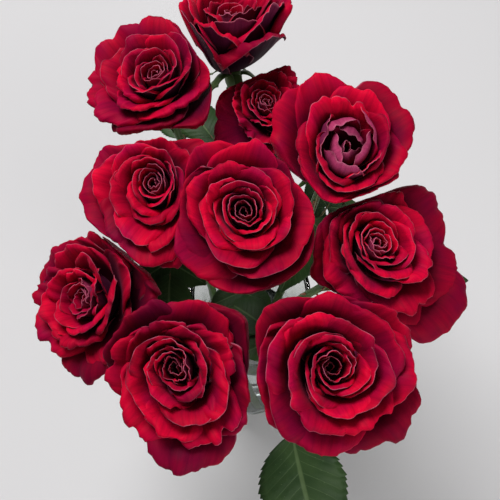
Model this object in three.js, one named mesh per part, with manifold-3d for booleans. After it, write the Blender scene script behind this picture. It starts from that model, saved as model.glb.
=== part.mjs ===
// Ten cut red roses standing in a clear glass vase of water, as one free-standing bouquet.
// Millimetres, +Z up, origin at the middle of the vase's underside, with -Y as the bouquet's front.
// Every stem stands on the vase's floor, leans on the rim and carries a calyx, outer and inner petals.
import * as THREE from "three";
import { mergeVertices } from "three/addons/utils/BufferGeometryUtils.js";
import Module from "manifold-3d";

const GAP = 0.3; // left between pieces that touch
const OVERLAP = 2; // sunk by one part of a piece into another, so that they join

// Vase: a blown tumbler shape, slightly waisted below a flared mouth.
const VASE_HEIGHT = 220;
const VASE_WALL = 3;
const VASE_FLOOR = 9;
const FLOOR_CORNER = 4; // cut off inside, between the floor and the wall
const FOOT_RADIUS = 41;
const BELLY_RADIUS = 42;
const WAIST_RADIUS = 37;
const MOUTH_RADIUS = 47;
const VASE_SIDES = 32;
const WATER_LEVEL = 148;

// Stems: they stand in a ring that twists between the vase's floor and its neck.
const STEM_RADIUS = 3.2;
const STEM_SIDES = 8;
const STEM_STEPS = 11;
const NECK_HEIGHT = 200;
const NECK_RING = 30;
const FOOT_RING = 25;
const RING_TWIST = 45;
const STEM_LIFT = 0.7; // clears the floor under a leaning stem's edge

// Flower proportions, as shares of the bloom's radius.
const FACE_HEIGHT = 0.9; // of the bloom's height
const HEART_RADIUS = 0.6;
const PETAL_LOBES = 5;
const LOBE_DEPTH = 0.05;
const BLOOM_SIDES = 15;

// Calyx: the green hip under the petals, with five sepals turned down.
const HIP_LENGTH = 15;
const HIP_RADIUS = 6.4;
const SEPAL_COUNT = 5;
const SEPAL_LENGTH = 25;
const SEPAL_WIDTH = 7;
const SEPAL_THICKNESS = 1.1;
const SEPAL_DROP = 12;

// Compound leaf: leaflets in pairs along a stalk, with one at its end.
const LEAFLET_WIDTH = 0.36; // half of it, as a share of the leaflet's length
const LEAFLET_THICKNESS = 1.2;
const STALK_RADIUS = 1.1;
const LEAF_DROOP = 0.16;
const END_LEAFLET = [0.58, 0.58, 0.46]; // its share of the leaf's length, by the number of pairs
const PAIR_ANGLE = 62;
const FIRST_PAIR = 0.7; // its place along the stalk, and its length as a share of the end leaflet's
const PAIR_SPACING = 0.36;
const PAIR_SHRINK = 0.12;

// One row for each rose. face is the middle of the bloom's face, and radius and height are the
// bloom's own. The bloom tilts from upright towards a compass angle (0 is +X), and ring is its
// stem's place in the neck.
const ROSES = [
  { face: [-10, 155, 382], radius: 36, height: 57, tilt: 33, towards: 86, ring: 96 },
  { face: [-72, 108, 379], radius: 40, height: 40, tilt: 12, towards: 163, ring: 128 },
  { face: [13, 90, 361], radius: 29, height: 29, tilt: 2, towards: 0, ring: 64 },
  { face: [62, 42, 398], radius: 40, height: 40, tilt: 9, towards: 337, ring: 28 },
  { face: [-71, 13, 374], radius: 38, height: 38, tilt: 12, towards: 210, ring: 165 },
  { face: [-4, -11, 402], radius: 41, height: 41, tilt: 13, towards: 270, ring: 270 },
  { face: [88, -23, 369], radius: 41, height: 41, tilt: 16, towards: 333, ring: 345 },
  { face: [-119, -46, 337], radius: 42, height: 42, tilt: 42, towards: 196, ring: 202 },
  { face: [-44, -116, 372], radius: 46, height: 46, tilt: 20, towards: 242, ring: 238 },
  { face: [52, -112, 386], radius: 48, height: 48, tilt: 20, towards: 297, ring: 302 },
];

// One row for each leaf: the rose whose stem it grows on, the height where it leaves that stem, the
// compass angle it points to, how far it rises (+) or hangs (-), its length, its leaflet pairs and
// how far its tip sweeps to the left.
const LEAVES = [
  { rose: 10, height: 262, towards: 270, rise: 2, length: 144, pairs: 0, sweep: 32 },
  { rose: 7, height: 262, towards: 354, rise: 30, length: 104, pairs: 1, sweep: 6 },
  { rose: 7, height: 240, towards: 325, rise: 8, length: 84, pairs: 2, sweep: -8 },
  { rose: 8, height: 250, towards: 214, rise: 14, length: 92, pairs: 1, sweep: -6 },
  { rose: 8, height: 236, towards: 176, rise: -2, length: 92, pairs: 2, sweep: 8 },
  { rose: 9, height: 246, towards: 238, rise: -6, length: 92, pairs: 2, sweep: 10 },
  { rose: 5, height: 244, towards: 148, rise: 2, length: 84, pairs: 2, sweep: -4 },
  { rose: 2, height: 262, towards: 106, rise: 6, length: 88, pairs: 2, sweep: 8 },
  { rose: 1, height: 262, towards: 78, rise: 6, length: 96, pairs: 2, sweep: -8 },
  { rose: 4, height: 258, towards: 52, rise: 8, length: 86, pairs: 2, sweep: 8 },
  { rose: 3, height: 240, towards: 14, rise: -4, length: 80, pairs: 2, sweep: 6 },
  { rose: 6, height: 292, towards: 268, rise: 16, length: 62, pairs: 1, sweep: -4 },
  { rose: 5, height: 304, towards: 270, rise: 5, length: 74, pairs: 1, sweep: 6 },
  { rose: 4, height: 318, towards: 255, rise: 5, length: 72, pairs: 1, sweep: -5 },
  { rose: 1, height: 276, towards: 120, rise: 5, length: 76, pairs: 1, sweep: 5 },
  { rose: 10, height: 304, towards: 135, rise: 8, length: 70, pairs: 1, sweep: 5 },
];

const COLOURS = {
  glass: { color: 0xdfeaea, roughness: 0.03, metalness: 0, transparent: true, opacity: 0.3 },
  water: { color: 0xd6e4e4, roughness: 0.02, metalness: 0, transparent: true, opacity: 0.35 },
  stem: { color: 0x4c6a2c, roughness: 0.55, metalness: 0 },
  calyx: { color: 0x55742f, roughness: 0.6, metalness: 0 },
  outer: { color: 0x8c0624, roughness: 0.65, metalness: 0 },
  inner: { color: 0xa8052a, roughness: 0.65, metalness: 0 },
  leaf: { color: 0x2b4a22, roughness: 0.5, metalness: 0 },
};

const wasm = await Module();
wasm.setup();

const radians = THREE.MathUtils.degToRad;
const group = new THREE.Group();

function addMesh(name, geometry, finish, matrix = new THREE.Matrix4()) {
  const mesh = new THREE.Mesh(geometry, new THREE.MeshStandardMaterial(COLOURS[finish]));
  mesh.name = name;
  mesh.applyMatrix4(matrix);
  group.add(mesh);
}

function toSolid(geometry) {
  const bare = new THREE.BufferGeometry();
  bare.setAttribute("position", geometry.getAttribute("position"));
  if (geometry.index) bare.setIndex(geometry.index);
  const merged = mergeVertices(bare, 1e-3);
  return new wasm.Manifold(
    new wasm.Mesh({
      numProp: 3,
      vertProperties: merged.attributes.position.array,
      triVerts: new Uint32Array(merged.index.array),
    }),
  );
}

function toGeometry(solid) {
  const mesh = solid.getMesh();
  return new THREE.BufferGeometry()
    .setAttribute("position", new THREE.BufferAttribute(mesh.vertProperties, 3))
    .setIndex(new THREE.BufferAttribute(mesh.triVerts, 1));
}

// A turned solid about +Z, from points [radius, height] that run counter-clockwise.
function turned(points, sides) {
  const profile = points.map(([radius, height]) => new THREE.Vector2(radius, height));
  return new THREE.LatheGeometry(profile, sides).rotateX(Math.PI / 2);
}

function tube(path, radius, sides, steps) {
  const section = new THREE.Shape().absarc(0, 0, radius, 0, 2 * Math.PI);
  return new THREE.ExtrudeGeometry(section, {
    steps,
    curveSegments: sides / 2,
    bevelEnabled: false,
    extrudePath: path,
  });
}

function onRing(radius, degrees, height) {
  return new THREE.Vector3(
    radius * Math.cos(radians(degrees)),
    radius * Math.sin(radians(degrees)),
    height,
  );
}

// ---- Vase -------------------------------------------------------------------------------------

const vaseOuter = new THREE.SplineCurve([
  new THREE.Vector2(FOOT_RADIUS, 2),
  new THREE.Vector2(BELLY_RADIUS, 0.25 * VASE_HEIGHT),
  new THREE.Vector2(WAIST_RADIUS, 0.68 * VASE_HEIGHT),
  new THREE.Vector2(WAIST_RADIUS + 2.5, 0.86 * VASE_HEIGHT),
  new THREE.Vector2(MOUTH_RADIUS, VASE_HEIGHT),
]).getPoints(9);

function outerRadiusAt(height) {
  const above = vaseOuter.findIndex((point) => point.y >= height);
  const low = vaseOuter[above - 1];
  const high = vaseOuter[above];
  return low.x + ((high.x - low.x) * (height - low.y)) / (high.y - low.y);
}

// The space inside the vase, drawn in by a clearance, from the floor up to a height.
function insideProfile(top, clearance) {
  const floor = VASE_FLOOR + clearance;
  const inset = VASE_WALL + clearance;
  const between = vaseOuter.filter((point) => point.y > floor + FLOOR_CORNER && point.y < top - 1);
  return [
    [0, floor],
    [outerRadiusAt(floor) - inset - FLOOR_CORNER, floor],
    [outerRadiusAt(floor + FLOOR_CORNER) - inset, floor + FLOOR_CORNER],
    ...between.map((point) => [point.x - inset, point.y]),
    [outerRadiusAt(top) - inset, top],
  ];
}

const outside = vaseOuter.map((point) => [point.x, point.y]);
const vaseProfile = [
  [0, 0],
  [FOOT_RADIUS - 2, 0],
  ...outside,
  ...insideProfile(VASE_HEIGHT, 0).reverse(),
];
addMesh("vase", turned(vaseProfile, VASE_SIDES), "glass");

// ---- Stems ------------------------------------------------------------------------------------

// Carries a flower drawn about its own +Z, from the top of its hip, to its place and tilt.
function bloomMatrix(rose) {
  const axis = onRing(Math.sin(radians(rose.tilt)), rose.towards, Math.cos(radians(rose.tilt)));
  const turn = new THREE.Quaternion().setFromUnitVectors(new THREE.Vector3(0, 0, 1), axis);
    const base = new THREE.Vector3(...rose.face).addScaledVector(axis, -FACE_HEIGHT * rose.height);
  return new THREE.Matrix4().compose(base, turn, new THREE.Vector3(1, 1, 1));
}

// The stem's middle line: straight from the vase's floor to its neck, then a bend up into the hip.
function stemPath(rose) {
  const matrix = bloomMatrix(rose);
  const top = new THREE.Vector3(0, 0, -HIP_LENGTH - GAP).applyMatrix4(matrix);
  const axis = new THREE.Vector3(0, 0, 1).transformDirection(matrix);
  const foot = onRing(FOOT_RING, rose.ring + RING_TWIST, VASE_FLOOR + STEM_LIFT);
  const neck = onRing(NECK_RING, rose.ring, NECK_HEIGHT);
  const reach = neck.distanceTo(top) / 3;
  const along = neck.clone().sub(foot).normalize();
  const path = new THREE.CurvePath();
  path.add(new THREE.LineCurve3(foot, neck));
  path.add(
    new THREE.CubicBezierCurve3(
      neck,
      neck.clone().addScaledVector(along, reach),
      top.clone().addScaledVector(axis, -reach),
      top,
    ),
  );
  return path;
}

const paths = ROSES.map(stemPath);

// ---- Water ------------------------------------------------------------------------------------

const waterBody = toSolid(turned([...insideProfile(WATER_LEVEL, GAP), [0, WATER_LEVEL]], VASE_SIDES));
const water = paths.reduce(
  (left, path) => left.subtract(toSolid(tube(path, STEM_RADIUS + GAP, STEM_SIDES, STEM_STEPS))),
  waterBody,
);
addMesh("water", toGeometry(water), "water");

// ---- Flowers ----------------------------------------------------------------------------------

// Petals overlap in a ring of soft lobes, which deepen towards the rim.
function lobed(geometry, radius, height) {
  const places = geometry.getAttribute("position");
  for (let i = 0; i < places.count; i += 1) {
    const x = places.getX(i);
    const y = places.getY(i);
    const share = Math.max(0, places.getZ(i) / height);
    const out = Math.hypot(x, y) / radius;
    const lobe = LOBE_DEPTH * share * out * Math.cos(PETAL_LOBES * Math.atan2(y, x));
    places.setXY(i, x * (1 + lobe), y * (1 + lobe));
  }
  return geometry;
}

// The wound inner petals: a bud-shaped solid with a shallow dip at its top.
function innerPetals({ radius, height }) {
  const wide = HEART_RADIUS * radius;
  return turned(
    [
      [0, 0.09 * height],
      [0.45 * wide, 0.12 * height],
      [0.86 * wide, 0.32 * height],
      [wide, 0.62 * height],
      [0.84 * wide, 0.98 * height],
      [0.4 * wide, 0.95 * height],
      [0, 0.84 * height],
    ],
    BLOOM_SIDES,
  );
}

// The opened outer petals: a flared bowl around the inner ones.
function outerPetals({ radius, height }) {
  const wide = HEART_RADIUS * radius + GAP;
  const bowl = turned(
    [
      [0, 0],
      [0.28 * radius, 0.02 * height],
      [0.66 * radius, 0.2 * height],
      [0.86 * radius, 0.48 * height],
      [radius, 0.74 * height],
      [0.97 * radius, 0.84 * height],
      [0.8 * radius, 0.88 * height],
      [wide + 1, 0.62 * height],
      [0.86 * wide + 1, 0.31 * height],
      [0.45 * wide + 0.6, 0.1 * height],
      [0, 0.07 * height],
    ],
    BLOOM_SIDES,
  );
  return lobed(bowl, radius, height);
}

// One sepal lying along +X from the hip, then bent down towards its tip.
function sepal() {
  const half = SEPAL_WIDTH / 2;
  const outline = new THREE.Shape()
    .moveTo(OVERLAP, -0.7 * half)
    .lineTo(0.35 * SEPAL_LENGTH, -half)
    .lineTo(0.7 * SEPAL_LENGTH, -0.5 * half)
    .lineTo(SEPAL_LENGTH, 0)
    .lineTo(0.7 * SEPAL_LENGTH, 0.5 * half)
    .lineTo(0.35 * SEPAL_LENGTH, half)
    .lineTo(OVERLAP, 0.7 * half);
  const plate = new THREE.ExtrudeGeometry(outline, { depth: SEPAL_THICKNESS, bevelEnabled: false });
  const places = plate.getAttribute("position");
  for (let i = 0; i < places.count; i += 1) {
    const share = places.getX(i) / SEPAL_LENGTH;
    places.setZ(i, places.getZ(i) - OVERLAP - SEPAL_DROP * share * share);
  }
  return plate;
}

function calyx() {
  const hip = turned(
    [
      [0, -HIP_LENGTH],
      [STEM_RADIUS + 0.4, -HIP_LENGTH],
      [0.9 * HIP_RADIUS, -0.66 * HIP_LENGTH],
      [HIP_RADIUS, -0.4 * HIP_LENGTH],
      [0.9 * HIP_RADIUS, -GAP],
      [0, -GAP],
    ],
    8,
  );
  let whole = toSolid(hip);
  for (let i = 0; i < SEPAL_COUNT; i += 1) {
    whole = whole.add(toSolid(sepal().rotateZ((2 * Math.PI * i) / SEPAL_COUNT)));
  }
  return toGeometry(whole);
}

ROSES.forEach((rose, i) => {
  const number = String(i + 1).padStart(2, "0");
  const place = bloomMatrix(rose);
  addMesh(`stem_${number}`, tube(paths[i], STEM_RADIUS, STEM_SIDES, STEM_STEPS), "stem");
  addMesh(`calyx_${number}`, calyx(), "calyx", place);
  addMesh(`outer_petals_${number}`, outerPetals(rose), "outer", place);
  addMesh(`inner_petals_${number}`, innerPetals(rose), "inner", place);
});

// ---- Leaves -----------------------------------------------------------------------------------

// A leaflet lying along +X from its base, as a pointed oval plate.
function leaflet(length) {
  const half = LEAFLET_WIDTH * length;
  const outline = new THREE.Shape()
    .moveTo(0, 0)
    .bezierCurveTo(0.12 * length, -1.25 * half, 0.7 * length, -1.25 * half, length, 0)
    .bezierCurveTo(0.7 * length, 1.25 * half, 0.12 * length, 1.25 * half, 0, 0);
  const plate = new THREE.ExtrudeGeometry(outline, {
    depth: LEAFLET_THICKNESS,
    curveSegments: 4,
    bevelEnabled: false,
  });
  return plate.translate(0, 0, -LEAFLET_THICKNESS / 2);
}

// A compound leaf along +X from the stem: the stalk, its pairs of leaflets and the end leaflet.
function compoundLeaf(length, pairs, sweep) {
  const endLength = END_LEAFLET[pairs] * length;
  const stalkEnd = length - endLength;
  const stalk = new THREE.LineCurve3(new THREE.Vector3(), new THREE.Vector3(stalkEnd + OVERLAP, 0, 0));
  let whole = toSolid(tube(stalk, STALK_RADIUS, 6, 4));
  whole = whole.add(toSolid(leaflet(endLength).translate(stalkEnd, 0, 0)));
  for (let pair = 0; pair < pairs; pair += 1) {
    const along = stalkEnd * (FIRST_PAIR - PAIR_SPACING * pair);
    for (const side of [-1, 1]) {
      const blade = leaflet(endLength * (FIRST_PAIR - PAIR_SHRINK * pair));
      blade.rotateZ(side * radians(PAIR_ANGLE)).translate(along, (side * STALK_RADIUS) / 2, 0);
      whole = whole.add(toSolid(blade));
    }
  }
  const geometry = toGeometry(whole);
  const places = geometry.getAttribute("position");
  for (let i = 0; i < places.count; i += 1) {
    const share = places.getX(i) / length;
    places.setY(i, places.getY(i) + sweep * share * share);
    places.setZ(i, places.getZ(i) - LEAF_DROOP * length * share * share);
  }
  return geometry;
}

// How far along a path, from 0 to 1, it first reaches a height.
function shareAtHeight(path, height) {
  const steps = 200;
  const reached = path.getSpacedPoints(steps).findIndex((point) => point.z >= height);
  return reached / steps;
}

// Where a leaf starts: on the side of its stem that faces the way the leaf points.
function leafPlace(leaf) {
  const path = paths[leaf.rose - 1];
  const share = shareAtHeight(path, leaf.height);
  const along = path.getTangentAt(share);
  const turn = new THREE.Matrix4()
    .makeRotationZ(radians(leaf.towards))
    .multiply(new THREE.Matrix4().makeRotationY(-radians(leaf.rise)));
  const out = new THREE.Vector3(1, 0, 0).transformDirection(turn);
  out.addScaledVector(along, -out.dot(along)).normalize();
  const start = path.getPointAt(share).addScaledVector(out, STEM_RADIUS + STALK_RADIUS + GAP);
  return new THREE.Matrix4().makeTranslation(start).multiply(turn);
}

LEAVES.forEach((leaf, i) => {
  const number = String(i + 1).padStart(2, "0");
  addMesh(`leaf_${number}`, compoundLeaf(leaf.length, leaf.pairs, leaf.sweep), "leaf", leafPlace(leaf));
});

export default group;
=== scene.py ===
import math

import bpy
import numpy as np
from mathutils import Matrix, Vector


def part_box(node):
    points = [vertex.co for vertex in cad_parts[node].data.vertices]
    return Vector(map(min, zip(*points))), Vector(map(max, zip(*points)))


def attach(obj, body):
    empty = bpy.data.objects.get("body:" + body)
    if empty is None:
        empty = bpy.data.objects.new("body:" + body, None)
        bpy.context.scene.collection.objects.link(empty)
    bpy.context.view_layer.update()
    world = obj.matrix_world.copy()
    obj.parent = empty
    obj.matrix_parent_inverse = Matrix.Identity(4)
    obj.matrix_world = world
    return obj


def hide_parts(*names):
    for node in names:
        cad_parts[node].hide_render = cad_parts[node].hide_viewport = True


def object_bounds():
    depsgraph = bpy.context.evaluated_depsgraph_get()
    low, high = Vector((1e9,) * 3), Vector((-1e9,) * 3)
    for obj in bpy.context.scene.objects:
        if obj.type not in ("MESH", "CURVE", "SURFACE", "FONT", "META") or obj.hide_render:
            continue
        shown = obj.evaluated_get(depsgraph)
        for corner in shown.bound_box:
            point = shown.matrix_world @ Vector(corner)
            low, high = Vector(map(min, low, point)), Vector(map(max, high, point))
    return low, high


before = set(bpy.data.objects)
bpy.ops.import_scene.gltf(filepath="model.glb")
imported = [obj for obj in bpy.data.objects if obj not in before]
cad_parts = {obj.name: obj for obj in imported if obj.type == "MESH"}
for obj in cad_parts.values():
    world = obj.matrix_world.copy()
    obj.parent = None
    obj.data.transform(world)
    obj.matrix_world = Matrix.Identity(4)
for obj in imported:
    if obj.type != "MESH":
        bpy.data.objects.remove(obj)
cad_low, cad_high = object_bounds()

# ---- Camera, floor and lights ----------------------------------------------------------------
# The bouquet stands on a wide pale table. The camera looks steeply down on it from the front. The
# main lamp shines from above and behind, to the left. Two weaker ones and a pale room fill in.

scene = bpy.context.scene
scene.view_settings.view_transform = "Standard"

CAMERA_ELEVATION = math.radians(68)
CAMERA_DISTANCE = 0.76
CAMERA_LENS = 86.4
aim = Vector((0, -0.031, 0.94 * cad_high.z))
back = Vector((0, -math.cos(CAMERA_ELEVATION), math.sin(CAMERA_ELEVATION)))
camera = bpy.data.objects.new("camera", bpy.data.cameras.new("camera"))
camera.data.lens = CAMERA_LENS
camera.data.clip_start = 0.01
camera.location = aim + CAMERA_DISTANCE * back
camera.rotation_euler = (-back).to_track_quat("-Z", "Y").to_euler()
scene.collection.objects.link(camera)
scene.camera = camera


def new_finish(name):
    """A new material, its node tree and its main shader."""
    material = bpy.data.materials.new(name)
    material.use_nodes = True
    tree = material.node_tree
    return material, tree, tree.nodes["Principled BSDF"]


def set_inputs(node, sources):
    """Sets a node's inputs, by name or number, or links them to the outputs of other nodes."""
    for label, source in sources.items():
        if isinstance(source, bpy.types.NodeSocket):
            node.id_data.links.new(source, node.inputs[label])
        else:
            node.inputs[label].default_value = source


FLOOR_SIZE = 6.0
half = FLOOR_SIZE / 2
floor_mesh = bpy.data.meshes.new("floor")
floor_corners = ((-half, -half), (half, -half), (half, half), (-half, half))
floor_mesh.from_pydata([(x, y, cad_low.z) for x, y in floor_corners], [], [(0, 1, 2, 3)])
floor = bpy.data.objects.new("floor", floor_mesh)
floor_finish, _, floor_shader = new_finish("floor_finish")
set_inputs(
    floor_shader,
    {"Base Color": (0.70, 0.69, 0.70, 1), "Roughness": 0.9, "Specular IOR Level": 0.1},
)
floor_mesh.materials.append(floor_finish)
scene.collection.objects.link(floor)

ROOM_LIGHT = 0.2
room = bpy.data.worlds.new("room")
room.use_nodes = True
set_inputs(
    room.node_tree.nodes["Background"], {"Color": (1, 0.99, 0.98, 1), "Strength": ROOM_LIGHT}
)
scene.world = room

# Each lamp: where it hangs, the spot it lights, its width and its power.
LAMPS = {
    "main_lamp": ((-0.55, 0.85, 1.9), aim, 0.9, 37.0),
    "front_lamp": ((0.9, -1.3, 1.3), aim, 1.2, 4.0),
    "floor_lamp": ((0.6, -0.8, 0.55), Vector((0.18, -0.26, 0)), 0.7, 4.0),
}
for lamp_name, (lamp_place, lit_spot, lamp_width, lamp_power) in LAMPS.items():
    lamp = bpy.data.objects.new(lamp_name, bpy.data.lights.new(lamp_name, "AREA"))
    lamp.data.size = lamp_width
    lamp.data.energy = lamp_power
    lamp.location = lamp_place
    lamp.rotation_euler = (lit_spot - lamp.location).to_track_quat("-Z", "Y").to_euler()
    scene.collection.objects.link(lamp)

# ---- Vase --------------------------------------------------------------------------------------
# A clear blown-glass vase, waisted below its flared mouth. It is turned from the CAD wall's
# profile, with a heavy floor, a ground foot and a fire-polished rim.


def corners(node):
    """The different points of a CAD node's mesh, one in each row."""
    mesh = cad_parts[node].data
    places = np.empty(3 * len(mesh.vertices), np.float32)
    mesh.vertices.foreach_get("co", places)
    return np.unique(places.reshape(-1, 3).round(6), axis=0).astype(float)


def smooth_line(points, steps):
    """A smooth curve through the points, with a number of steps between each pair."""
    points = np.asarray(points, float)
    ends = np.vstack([2 * points[0] - points[1], points, 2 * points[-1] - points[-2]])
    share = np.linspace(0, 1, steps, endpoint=False)[:, None]
    spans = []
    for a, b, c, d in zip(ends, ends[1:], ends[2:], ends[3:]):
        bow = 2 * a - 5 * b + 4 * c - d
        twist = 3 * (b - c) + d - a
        spans.append(b + 0.5 * share * ((c - a) + share * (bow + share * twist)))
    return np.vstack([*spans, points[-1:]])


def add_piece(name, points, faces, materials, face_material=None, uv=None, fields=None):
    """A smooth-shaded mesh object at the origin. faces is a list of arrays, one for each count of
    corners; uv and fields hold a value for each point."""
    mesh = bpy.data.meshes.new(name)
    mesh.vertices.add(len(points))
    mesh.vertices.foreach_set("co", np.asarray(points, np.float32).ravel())
    order = np.concatenate([np.ravel(group) for group in faces]).astype(np.int32)
    counts = np.concatenate([np.full(len(group), np.shape(group)[1]) for group in faces])
    mesh.loops.add(len(order))
    mesh.loops.foreach_set("vertex_index", order)
    mesh.polygons.add(len(counts))
    starts = np.concatenate([[0], np.cumsum(counts)[:-1]]).astype(np.int32)
    mesh.polygons.foreach_set("loop_start", starts)
    for material in materials:
        mesh.materials.append(material)
    if face_material is not None:
        mesh.polygons.foreach_set("material_index", np.asarray(face_material, np.int32))
    if uv is not None:
        layer = mesh.uv_layers.new(name="UVMap")
        layer.data.foreach_set("uv", np.asarray(uv, np.float32)[order].ravel())
    for field, values in (fields or {}).items():
        attribute = mesh.attributes.new(field, "FLOAT", "POINT")
        attribute.data.foreach_set("value", np.asarray(values, np.float32))
    mesh.update(calc_edges=True)
    mesh.validate()
    mesh.shade_smooth()
    piece = bpy.data.objects.new(name, mesh)
    scene.collection.objects.link(piece)
    return piece


def capped_rings(rings, sides):
    """Quads and triangles of a closed solid, whose points are rings from the bottom up and then the
    middles of its low end and its high end."""
    here = np.arange(rings * sides).reshape(rings, sides)
    beside = np.roll(here, -1, axis=1)
    quads = np.stack([here[:-1], beside[:-1], beside[1:], here[1:]], axis=-1)
    low_end = np.full(sides, rings * sides)
    below = np.stack([low_end, beside[0], here[0]], axis=-1)
    above = np.stack([low_end + 1, here[-1], beside[-1]], axis=-1)
    return [quads.reshape(-1, 4), below, above]


def turned(profile, sides):
    """Points and quads of a closed solid turned about the Z axis. The profile is (radius, height)
    from the axis at the bottom, outwards and up, and back to the axis."""
    profile = np.asarray(profile, float)
    bottom, wall, top = profile[0], profile[1:-1], profile[-1]
    turns = np.linspace(0, 2 * math.pi, sides, endpoint=False)
    ring_x = np.outer(wall[:, 0], np.cos(turns))
    ring_y = np.outer(wall[:, 0], np.sin(turns))
    ring_z = np.repeat(wall[:, 1:], sides, axis=1)
    points = np.stack([ring_x, ring_y, ring_z], axis=-1).reshape(-1, 3)
    points = np.vstack([points, [0, 0, bottom[1]], [0, 0, top[1]]])
    return points, capped_rings(len(wall), sides)


VASE_SIDES = 120
RIM_STEPS = 9
WALL_STEP = 0.012  # the least height between two points that the wall's smooth line goes through
COVE = 0.007  # the radius inside, between the wall and the floor
vase_corners = corners("vase")
vase_reach = np.hypot(vase_corners[:, 0], vase_corners[:, 1])
vase_heights = np.unique(vase_corners[:, 2])
vase_top = vase_heights[-1]
mouth = vase_reach[vase_corners[:, 2] == vase_top]
wall = mouth.max() - mouth.min()
vase_floor = vase_corners[(vase_reach < 0.001) & (vase_corners[:, 2] > 0.001), 2].max()


def widest(height):
    """The wall's outer radius at one of its heights."""
    return vase_reach[vase_corners[:, 2] == height].max()


# the outer wall, the rim, the inner wall one wall's thickness in, and the cove at its foot
outer_wall = np.array([(widest(z), z) for z in vase_heights if z > 0.001])
keep = [0]
for place in range(1, len(outer_wall)):
    if outer_wall[place, 1] - outer_wall[keep[-1], 1] > WALL_STEP or place == len(outer_wall) - 1:
        keep.append(place)
outer_wall = smooth_line(outer_wall[keep], 5)
rim_middle = np.array([mouth.max() - wall / 2, vase_top - wall / 2])
rim_turns = np.linspace(0, math.pi, RIM_STEPS)
rim = rim_middle + wall / 2 * np.stack([np.cos(rim_turns), np.sin(rim_turns)], axis=1)
outer_wall = outer_wall[outer_wall[:, 1] < rim_middle[1] - 0.0005]
inner_wall = outer_wall[outer_wall[:, 1] > vase_floor + 0.006] - [wall, 0]
foot = outer_wall[0, 0]
cove_turns = np.linspace(math.pi / 2, 0, 7)
cove_middle = np.array([inner_wall[0, 0] - COVE, vase_floor + COVE])
cove = cove_middle + COVE * np.stack([np.sin(cove_turns), -np.cos(cove_turns)], axis=1)
vase_profile = np.vstack(
    [
        [(0, 0.0012), (0.55 * foot, 0.0011), (0.78 * foot, 0.0004), (foot - 0.005, 0)],
        [(foot - 0.003, 0.0001), (foot - 0.0012, 0.0007), (foot - 0.0003, 0.0016)],
        outer_wall[1:],
        rim,
        inner_wall[::-1],
        cove[1:],
        [(0.5 * foot, vase_floor - 0.0004), (0, vase_floor - 0.0008)],
    ]
)


def wire(tree, kind, sources=None, **settings):
    """Adds a node, and sets its properties and its inputs."""
    node = tree.nodes.new(kind)
    for label, value in settings.items():
        setattr(node, label, value)
    set_inputs(node, sources or {})
    return node


def noise(tree, place, scale, detail=2.0):
    """A noise value at each place."""
    sources = {"Vector": place, "Scale": scale, "Detail": detail}
    return wire(tree, "ShaderNodeTexNoise", sources).outputs[0]


def bump(tree, height, strength, distance):
    """The direction of a surface whose relief has this height."""
    sources = {"Strength": strength, "Distance": distance, "Height": height}
    return wire(tree, "ShaderNodeBump", sources).outputs[0]


def clear_finish(name, colour, roughness, ior, scale, detail, strength):
    """A clear, colourless finish whose surface waves a little."""
    material, tree, shader = new_finish(name)
    waves = noise(tree, wire(tree, "ShaderNodeTexCoord").outputs["Object"], scale, detail)
    set_inputs(
        shader,
        {
            "Base Color": colour,
            "Roughness": roughness,
            "IOR": ior,
            "Transmission Weight": 1.0,
            "Normal": bump(tree, waves, strength, 0.001),
        },
    )
    return material


glass = clear_finish("vase_glass", (0.95, 0.98, 0.97, 1), 0.01, 1.5, 26.0, 1.0, 0.12)
vase = add_piece("glass_vase", *turned(vase_profile, VASE_SIDES), [glass])
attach(vase, "root")
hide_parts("vase")

# ---- Water -------------------------------------------------------------------------------------
# Clean water up to two thirds of the vase. It fills the inside to the glass, and its surface creeps
# up a little where it meets the wall.

WATER_LAP = 0.0002  # how far the water's skin lies within the glass, so that no air shows between
CREEP = 0.0014  # how high the water creeps up the wall
CREEP_REACH = 0.003
water_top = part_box("water")[1].z
wet_wall = inner_wall[inner_wall[:, 1] < water_top - 0.002] + [WATER_LAP, 0]
edge_reach = np.interp(water_top, inner_wall[:, 1], inner_wall[:, 0]) + WATER_LAP
surface_reach = edge_reach * np.array([1, 0.995, 0.985, 0.97, 0.95, 0.92, 0.86, 0.7, 0.45, 0.2])
creep = CREEP * np.exp(-(edge_reach - surface_reach) / CREEP_REACH)
water_profile = np.vstack(
    [
        [(0, vase_floor - 0.0008 - WATER_LAP), (0.5 * foot, vase_floor - 0.0004 - WATER_LAP)],
        cove[:0:-1] + [0.7 * WATER_LAP, -0.7 * WATER_LAP],
        wet_wall,
        np.stack([surface_reach, water_top + creep], axis=1),
        [(0, water_top)],
    ]
)

water_finish = clear_finish("clear_water", (0.97, 0.99, 0.985, 1), 0.0, 1.333, 40.0, 0.0, 0.05)
water = add_piece("vase_water", *turned(water_profile, VASE_SIDES), [water_finish])
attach(water, "root")
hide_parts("water")

# ---- Stems -------------------------------------------------------------------------------------
# Green rose stems that stand on the vase's floor and bend up into the blooms. Each is a tube round
# its middle line, with a slanting cut end, and hooked thorns grow on it above the vase's neck.

BLOOM_NUMBERS = [f"{number:02d}" for number in range(1, 11)]
STEM_STATIONS = 70
STEM_SIDES = 14
STEM_RADIUS = 0.0031
STEM_TAPER = 0.12
STEM_SWELL = 0.0009  # how much thicker a stem is where it meets its bloom
CUT_SLANT = 0.8
THORN_HOOK = 0.42  # how far a thorn's tip hangs, as a share of its length
THORN_BEND = 1.7  # above 1, the hook bends more towards its tip
THORN_FOOT = 2.1  # how much longer than wide a thorn's foot is
GOLDEN_ANGLE = math.radians(137.508)


def unit(vectors):
    """The same directions, each one long."""
    vectors = np.asarray(vectors, float)
    return vectors / np.linalg.norm(vectors, axis=-1, keepdims=True)


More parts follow.
